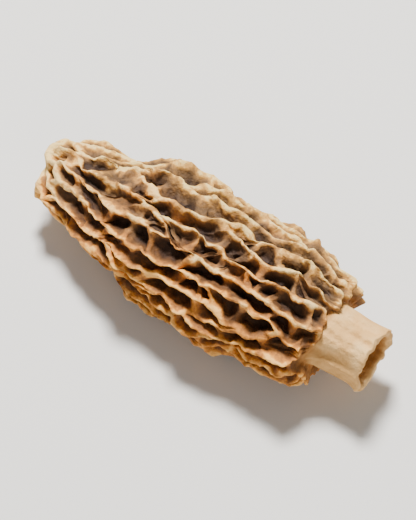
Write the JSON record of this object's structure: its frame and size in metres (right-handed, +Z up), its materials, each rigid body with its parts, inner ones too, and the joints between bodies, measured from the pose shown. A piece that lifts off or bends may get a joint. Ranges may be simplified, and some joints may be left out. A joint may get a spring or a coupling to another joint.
{
  "type": "dried morel mushroom",
  "caption": "Whole dried morel lying on its side: a hollow honeycombed cap of raised crests and deep pits on a short cut stem.",
  "frame": {"origin": "bottom centre of the bounding box: the middle of the footprint on the surface that it lies on", "axes": "+X along the mushroom from the cap's tip to the cut stem, +Z up, away from the belly that it rests on"},
  "size_m": [0.0516, 0.0212, 0.0156],
  "materials": {
    "dried_flesh": "dry, matt, wrinkled"
  },
  "bodies": {
    "root": {"dried_morel": "dried_flesh"}
  },
  "joints": []
}
